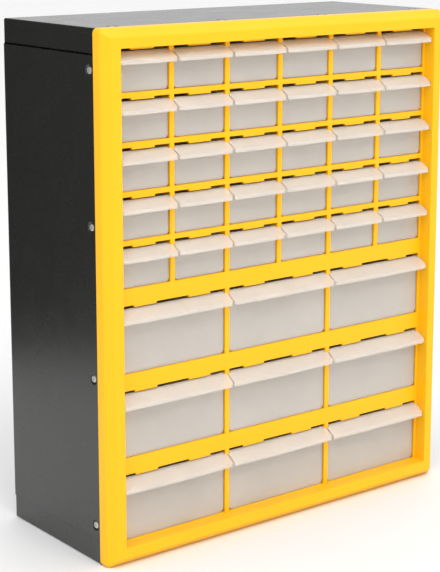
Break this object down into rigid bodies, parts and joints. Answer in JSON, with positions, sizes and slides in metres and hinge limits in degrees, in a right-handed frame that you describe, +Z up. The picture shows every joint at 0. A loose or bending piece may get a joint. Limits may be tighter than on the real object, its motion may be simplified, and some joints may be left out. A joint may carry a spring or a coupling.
{
  "type": "parts bin cabinet",
  "caption": "Bench or wall cabinet with a folded steel shell, a moulded front frame and rows of small and large pull-out translucent drawers.",
  "frame": {"origin": "middle of the footprint, on the base", "axes": "+Z up, -Y out of the drawer fronts, +X to the right when facing the drawers"},
  "size_m": [0.4, 0.165, 0.475],
  "materials": {
    "frame_plastic": "yellow moulded plastic with a soft sheen",
    "shell_paint": "dark charcoal satin paint",
    "drawer_plastic": "frosted translucent plastic",
    "screw_steel": "bright zinc-plated steel"
  },
  "bodies": {
    "cabinet": {"front_frame": "frame_plastic", "side_back_wrap": "shell_paint", "top_pan": "shell_paint", "bottom_pan": "shell_paint", "screws_left": "screw_steel", "screws_right": "screw_steel", "screws_top": "screw_steel", "screws_bottom": "screw_steel", "guide_small_r1": "frame_plastic", "guide_small_r2": "frame_plastic", "guide_small_r3": "frame_plastic", "guide_small_r4": "frame_plastic", "guide_small_r5": "frame_plastic", "guide_large_r1": "frame_plastic", "guide_large_r2": "frame_plastic", "guide_large_r3": "frame_plastic"},
    "drawer_large_r1_c1": {"drawer_large_r1_c1": "drawer_plastic"},
    "drawer_large_r1_c2": {"drawer_large_r1_c2": "drawer_plastic"},
    "drawer_large_r1_c3": {"drawer_large_r1_c3": "drawer_plastic"},
    "drawer_large_r2_c1": {"drawer_large_r2_c1": "drawer_plastic"},
    "drawer_large_r2_c2": {"drawer_large_r2_c2": "drawer_plastic"},
    "drawer_large_r2_c3": {"drawer_large_r2_c3": "drawer_plastic"},
    "drawer_large_r3_c1": {"drawer_large_r3_c1": "drawer_plastic"},
    "drawer_large_r3_c2": {"drawer_large_r3_c2": "drawer_plastic"},
    "drawer_large_r3_c3": {"drawer_large_r3_c3": "drawer_plastic"},
    "drawer_small_r1_c1": {"drawer_small_r1_c1": "drawer_plastic"},
    "drawer_small_r1_c2": {"drawer_small_r1_c2": "drawer_plastic"},
    "drawer_small_r1_c3": {"drawer_small_r1_c3": "drawer_plastic"},
    "drawer_small_r1_c4": {"drawer_small_r1_c4": "drawer_plastic"},
    "drawer_small_r1_c5": {"drawer_small_r1_c5": "drawer_plastic"},
    "drawer_small_r1_c6": {"drawer_small_r1_c6": "drawer_plastic"},
    "drawer_small_r2_c1": {"drawer_small_r2_c1": "drawer_plastic"},
    "drawer_small_r2_c2": {"drawer_small_r2_c2": "drawer_plastic"},
    "drawer_small_r2_c3": {"drawer_small_r2_c3": "drawer_plastic"},
    "drawer_small_r2_c4": {"drawer_small_r2_c4": "drawer_plastic"},
    "drawer_small_r2_c5": {"drawer_small_r2_c5": "drawer_plastic"},
    "drawer_small_r2_c6": {"drawer_small_r2_c6": "drawer_plastic"},
    "drawer_small_r3_c1": {"drawer_small_r3_c1": "drawer_plastic"},
    "drawer_small_r3_c2": {"drawer_small_r3_c2": "drawer_plastic"},
    "drawer_small_r3_c3": {"drawer_small_r3_c3": "drawer_plastic"},
    "drawer_small_r3_c4": {"drawer_small_r3_c4": "drawer_plastic"},
    "drawer_small_r3_c5": {"drawer_small_r3_c5": "drawer_plastic"},
    "drawer_small_r3_c6": {"drawer_small_r3_c6": "drawer_plastic"},
    "drawer_small_r4_c1": {"drawer_small_r4_c1": "drawer_plastic"},
    "drawer_small_r4_c2": {"drawer_small_r4_c2": "drawer_plastic"},
    "drawer_small_r4_c3": {"drawer_small_r4_c3": "drawer_plastic"},
    "drawer_small_r4_c4": {"drawer_small_r4_c4": "drawer_plastic"},
    "drawer_small_r4_c5": {"drawer_small_r4_c5": "drawer_plastic"},
    "drawer_small_r4_c6": {"drawer_small_r4_c6": "drawer_plastic"},
    "drawer_small_r5_c1": {"drawer_small_r5_c1": "drawer_plastic"},
    "drawer_small_r5_c2": {"drawer_small_r5_c2": "drawer_plastic"},
    "drawer_small_r5_c3": {"drawer_small_r5_c3": "drawer_plastic"},
    "drawer_small_r5_c4": {"drawer_small_r5_c4": "drawer_plastic"},
    "drawer_small_r5_c5": {"drawer_small_r5_c5": "drawer_plastic"},
    "drawer_small_r5_c6": {"drawer_small_r5_c6": "drawer_plastic"}
  },
  "joints": [
    {"name": "slide_large_r1_c1", "type": "slide", "parent": "cabinet", "child": "drawer_large_r1_c1", "axis": [0, -1, 0], "range_m": [0, 0.135]},
    {"name": "slide_large_r1_c2", "type": "slide", "parent": "cabinet", "child": "drawer_large_r1_c2", "axis": [0, -1, 0], "range_m": [0, 0.135]},
    {"name": "slide_large_r1_c3", "type": "slide", "parent": "cabinet", "child": "drawer_large_r1_c3", "axis": [0, -1, 0], "range_m": [0, 0.135]},
    {"name": "slide_large_r2_c1", "type": "slide", "parent": "cabinet", "child": "drawer_large_r2_c1", "axis": [0, -1, 0], "range_m": [0, 0.135]},
    {"name": "slide_large_r2_c2", "type": "slide", "parent": "cabinet", "child": "drawer_large_r2_c2", "axis": [0, -1, 0], "range_m": [0, 0.135]},
    {"name": "slide_large_r2_c3", "type": "slide", "parent": "cabinet", "child": "drawer_large_r2_c3", "axis": [0, -1, 0], "range_m": [0, 0.135]},
    {"name": "slide_large_r3_c1", "type": "slide", "parent": "cabinet", "child": "drawer_large_r3_c1", "axis": [0, -1, 0], "range_m": [0, 0.135]},
    {"name": "slide_large_r3_c2", "type": "slide", "parent": "cabinet", "child": "drawer_large_r3_c2", "axis": [0, -1, 0], "range_m": [0, 0.135]},
    {"name": "slide_large_r3_c3", "type": "slide", "parent": "cabinet", "child": "drawer_large_r3_c3", "axis": [0, -1, 0], "range_m": [0, 0.135]},
    {"name": "slide_small_r1_c1", "type": "slide", "parent": "cabinet", "child": "drawer_small_r1_c1", "axis": [0, -1, 0], "range_m": [0, 0.135]},
    {"name": "slide_small_r1_c2", "type": "slide", "parent": "cabinet", "child": "drawer_small_r1_c2", "axis": [0, -1, 0], "range_m": [0, 0.135]},
    {"name": "slide_small_r1_c3", "type": "slide", "parent": "cabinet", "child": "drawer_small_r1_c3", "axis": [0, -1, 0], "range_m": [0, 0.135]},
    {"name": "slide_small_r1_c4", "type": "slide", "parent": "cabinet", "child": "drawer_small_r1_c4", "axis": [0, -1, 0], "range_m": [0, 0.135]},
    {"name": "slide_small_r1_c5", "type": "slide", "parent": "cabinet", "child": "drawer_small_r1_c5", "axis": [0, -1, 0], "range_m": [0, 0.135]},
    {"name": "slide_small_r1_c6", "type": "slide", "parent": "cabinet", "child": "drawer_small_r1_c6", "axis": [0, -1, 0], "range_m": [0, 0.135]},
    {"name": "slide_small_r2_c1", "type": "slide", "parent": "cabinet", "child": "drawer_small_r2_c1", "axis": [0, -1, 0], "range_m": [0, 0.135]},
    {"name": "slide_small_r2_c2", "type": "slide", "parent": "cabinet", "child": "drawer_small_r2_c2", "axis": [0, -1, 0], "range_m": [0, 0.135]},
    {"name": "slide_small_r2_c3", "type": "slide", "parent": "cabinet", "child": "drawer_small_r2_c3", "axis": [0, -1, 0], "range_m": [0, 0.135]},
    {"name": "slide_small_r2_c4", "type": "slide", "parent": "cabinet", "child": "drawer_small_r2_c4", "axis": [0, -1, 0], "range_m": [0, 0.135]},
    {"name": "slide_small_r2_c5", "type": "slide", "parent": "cabinet", "child": "drawer_small_r2_c5", "axis": [0, -1, 0], "range_m": [0, 0.135]},
    {"name": "slide_small_r2_c6", "type": "slide", "parent": "cabinet", "child": "drawer_small_r2_c6", "axis": [0, -1, 0], "range_m": [0, 0.135]},
    {"name": "slide_small_r3_c1", "type": "slide", "parent": "cabinet", "child": "drawer_small_r3_c1", "axis": [0, -1, 0], "range_m": [0, 0.135]},
    {"name": "slide_small_r3_c2", "type": "slide", "parent": "cabinet", "child": "drawer_small_r3_c2", "axis": [0, -1, 0], "range_m": [0, 0.135]},
    {"name": "slide_small_r3_c3", "type": "slide", "parent": "cabinet", "child": "drawer_small_r3_c3", "axis": [0, -1, 0], "range_m": [0, 0.135]},
    {"name": "slide_small_r3_c4", "type": "slide", "parent": "cabinet", "child": "drawer_small_r3_c4", "axis": [0, -1, 0], "range_m": [0, 0.135]},
    {"name": "slide_small_r3_c5", "type": "slide", "parent": "cabinet", "child": "drawer_small_r3_c5", "axis": [0, -1, 0], "range_m": [0, 0.135]},
    {"name": "slide_small_r3_c6", "type": "slide", "parent": "cabinet", "child": "drawer_small_r3_c6", "axis": [0, -1, 0], "range_m": [0, 0.135]},
    {"name": "slide_small_r4_c1", "type": "slide", "parent": "cabinet", "child": "drawer_small_r4_c1", "axis": [0, -1, 0], "range_m": [0, 0.135]},
    {"name": "slide_small_r4_c2", "type": "slide", "parent": "cabinet", "child": "drawer_small_r4_c2", "axis": [0, -1, 0], "range_m": [0, 0.135]},
    {"name": "slide_small_r4_c3", "type": "slide", "parent": "cabinet", "child": "drawer_small_r4_c3", "axis": [0, -1, 0], "range_m": [0, 0.135]},
    {"name": "slide_small_r4_c4", "type": "slide", "parent": "cabinet", "child": "drawer_small_r4_c4", "axis": [0, -1, 0], "range_m": [0, 0.135]},
    {"name": "slide_small_r4_c5", "type": "slide", "parent": "cabinet", "child": "drawer_small_r4_c5", "axis": [0, -1, 0], "range_m": [0, 0.135]},
    {"name": "slide_small_r4_c6", "type": "slide", "parent": "cabinet", "child": "drawer_small_r4_c6", "axis": [0, -1, 0], "range_m": [0, 0.135]},
    {"name": "slide_small_r5_c1", "type": "slide", "parent": "cabinet", "child": "drawer_small_r5_c1", "axis": [0, -1, 0], "range_m": [0, 0.135]},
    {"name": "slide_small_r5_c2", "type": "slide", "parent": "cabinet", "child": "drawer_small_r5_c2", "axis": [0, -1, 0], "range_m": [0, 0.135]},
    {"name": "slide_small_r5_c3", "type": "slide", "parent": "cabinet", "child": "drawer_small_r5_c3", "axis": [0, -1, 0], "range_m": [0, 0.135]},
    {"name": "slide_small_r5_c4", "type": "slide", "parent": "cabinet", "child": "drawer_small_r5_c4", "axis": [0, -1, 0], "range_m": [0, 0.135]},
    {"name": "slide_small_r5_c5", "type": "slide", "parent": "cabinet", "child": "drawer_small_r5_c5", "axis": [0, -1, 0], "range_m": [0, 0.135]},
    {"name": "slide_small_r5_c6", "type": "slide", "parent": "cabinet", "child": "drawer_small_r5_c6", "axis": [0, -1, 0], "range_m": [0, 0.135]}
  ]
}
